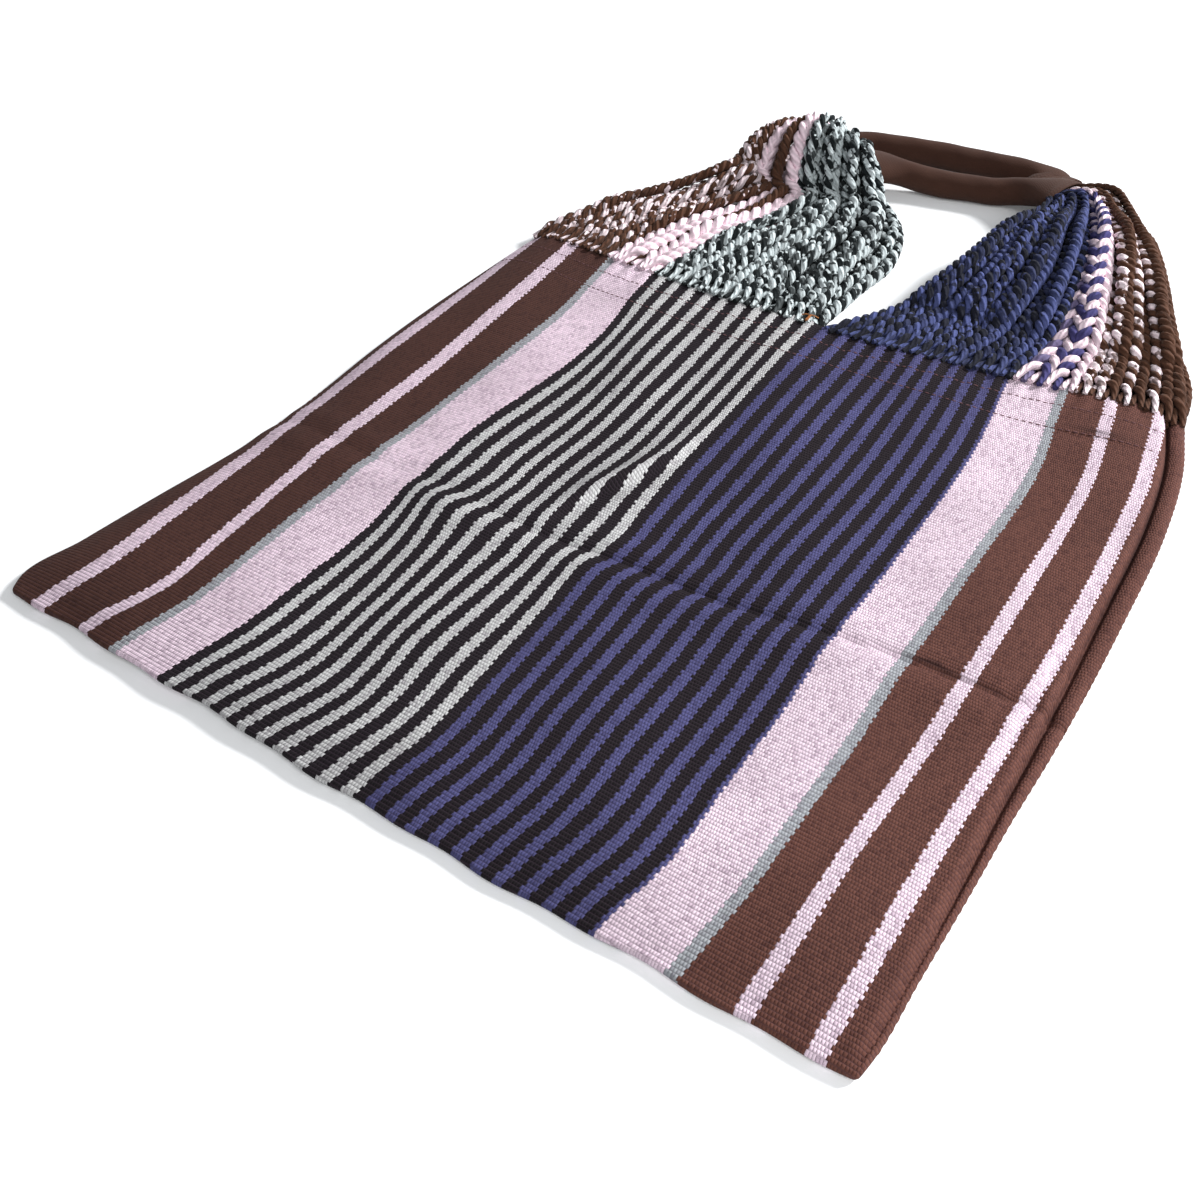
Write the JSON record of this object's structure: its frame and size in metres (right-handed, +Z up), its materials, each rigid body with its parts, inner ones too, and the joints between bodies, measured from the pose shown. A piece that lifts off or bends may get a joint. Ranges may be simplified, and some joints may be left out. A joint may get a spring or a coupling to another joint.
{
  "type": "tote bag",
  "caption": "Flat handwoven striped tote bag whose warp runs on as twisted cord fans gathered into two short tube handles.",
  "frame": {"origin": "middle of the bag's length and width, on the surface that it lies on", "axes": "+X across the bag, +Y from the bottom fold towards the handles, +Z up from the surface, out of the front panel"},
  "size_m": [0.4158, 0.5898, 0.0601],
  "materials": {
    "woven_cloth": "matt warp-faced weave in brown, pink, grey, black and navy stripes",
    "handle_cloth": "matt brown cloth",
    "tack_thread": "orange-brown thread",
    "brown_pink_cord": "soft two-ply cord, brown with pink",
    "pink_cord": "soft two-ply cord, pale pink",
    "grey_black_cord": "soft two-ply cord, grey with black",
    "navy_black_cord": "soft two-ply cord, navy with black"
  },
  "bodies": {
    "root": {"woven_body": "woven_cloth", "front_handle": "handle_cloth", "back_handle": "handle_cloth", "centre_tack": "tack_thread", "left_back_cord_01": "brown_pink_cord", "left_back_cord_02": "brown_pink_cord", "left_back_cord_03": "brown_pink_cord", "left_back_cord_04": "brown_pink_cord", "left_back_cord_05": "brown_pink_cord", "left_back_cord_06": "pink_cord", "left_back_cord_07": "pink_cord", "left_back_cord_08": "pink_cord", "left_back_cord_09": "grey_black_cord", "left_back_cord_10": "grey_black_cord", "left_back_cord_11": "grey_black_cord", "left_back_cord_12": "grey_black_cord", "left_back_cord_13": "grey_black_cord", "left_back_cord_14": "grey_black_cord", "left_front_cord_01": "brown_pink_cord", "left_front_cord_02": "brown_pink_cord", "left_front_cord_03": "brown_pink_cord", "left_front_cord_04": "brown_pink_cord", "left_front_cord_05": "brown_pink_cord", "left_front_cord_06": "pink_cord", "left_front_cord_07": "pink_cord", "left_front_cord_08": "pink_cord", "left_front_cord_09": "grey_black_cord", "left_front_cord_10": "grey_black_cord", "left_front_cord_11": "grey_black_cord", "left_front_cord_12": "grey_black_cord", "left_front_cord_13": "grey_black_cord", "left_front_cord_14": "grey_black_cord", "right_back_cord_01": "brown_pink_cord", "right_back_cord_02": "brown_pink_cord", "right_back_cord_03": "brown_pink_cord", "right_back_cord_04": "brown_pink_cord", "right_back_cord_05": "brown_pink_cord", "right_back_cord_06": "pink_cord", "right_back_cord_07": "pink_cord", "right_back_cord_08": "navy_black_cord", "right_back_cord_09": "navy_black_cord", "right_back_cord_10": "navy_black_cord", "right_back_cord_11": "navy_black_cord", "right_back_cord_12": "navy_black_cord", "right_back_cord_13": "navy_black_cord", "right_back_cord_14": "navy_black_cord", "right_front_cord_01": "brown_pink_cord", "right_front_cord_02": "brown_pink_cord", "right_front_cord_03": "brown_pink_cord", "right_front_cord_04": "brown_pink_cord", "right_front_cord_05": "brown_pink_cord", "right_front_cord_06": "pink_cord", "right_front_cord_07": "pink_cord", "right_front_cord_08": "navy_black_cord", "right_front_cord_09": "navy_black_cord", "right_front_cord_10": "navy_black_cord", "right_front_cord_11": "navy_black_cord", "right_front_cord_12": "navy_black_cord", "right_front_cord_13": "navy_black_cord", "right_front_cord_14": "navy_black_cord"}
  },
  "joints": []
}
